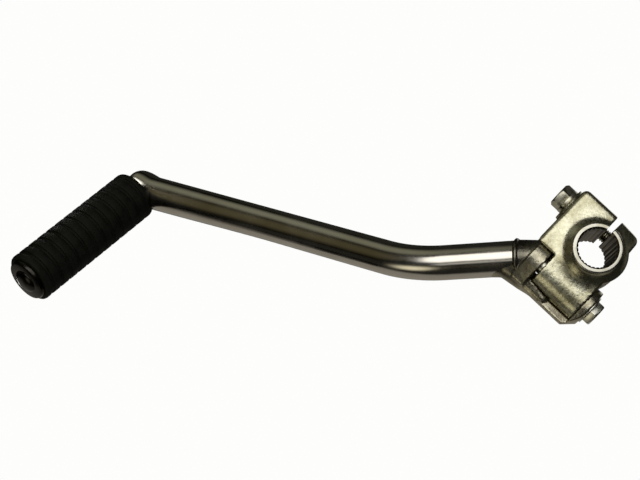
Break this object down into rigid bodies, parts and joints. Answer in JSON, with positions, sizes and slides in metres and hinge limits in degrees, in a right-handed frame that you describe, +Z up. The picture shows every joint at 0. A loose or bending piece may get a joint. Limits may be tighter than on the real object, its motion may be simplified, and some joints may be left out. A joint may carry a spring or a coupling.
{
  "type": "folding kick start lever",
  "caption": "Kick start lever with a splined clamp boss, a folding bent steel arm and a ribbed black rubber pedal.",
  "frame": {"origin": "middle of the splined bore, on its axis", "axes": "+Y along the shaft bore towards the engine, +Z up, the folded arm reaches towards -X"},
  "size_m": [0.2782, 0.1373, 0.0903],
  "materials": {
    "cast_steel": "as cast",
    "plated_bar": "plated",
    "bolt_steel": "zinc plated",
    "bearing_steel": "polished",
    "black_rubber": "matt"
  },
  "bodies": {
    "boss": {"kick_boss": "cast_steel", "clamp_bolt": "bolt_steel", "clamp_washer": "bolt_steel", "detent_spring": "bearing_steel"},
    "arm": {"arm_yoke": "plated_bar", "arm_bar": "plated_bar", "pivot_bolt": "bolt_steel", "pivot_washer": "bolt_steel", "pedal_rubber": "black_rubber", "pedal_washer": "bolt_steel"},
    "detent": {"detent_ball": "bearing_steel"}
  },
  "joints": [
    {"name": "arm_fold", "type": "hinge", "parent": "boss", "child": "arm", "pos_m": [-0.0125, 0, -0.01295], "axis": [-0.7193, 0, 0.6947], "range_deg": [0, 64]},
    {"name": "detent_slide", "type": "slide", "parent": "boss", "child": "detent", "axis": [-0.7193, 0, 0.6947], "range_m": [-0.0005, 0], "stiffness_N_per_m": 1000, "springref_m": 0.002, "deforming": ["detent_spring"]}
  ]
}
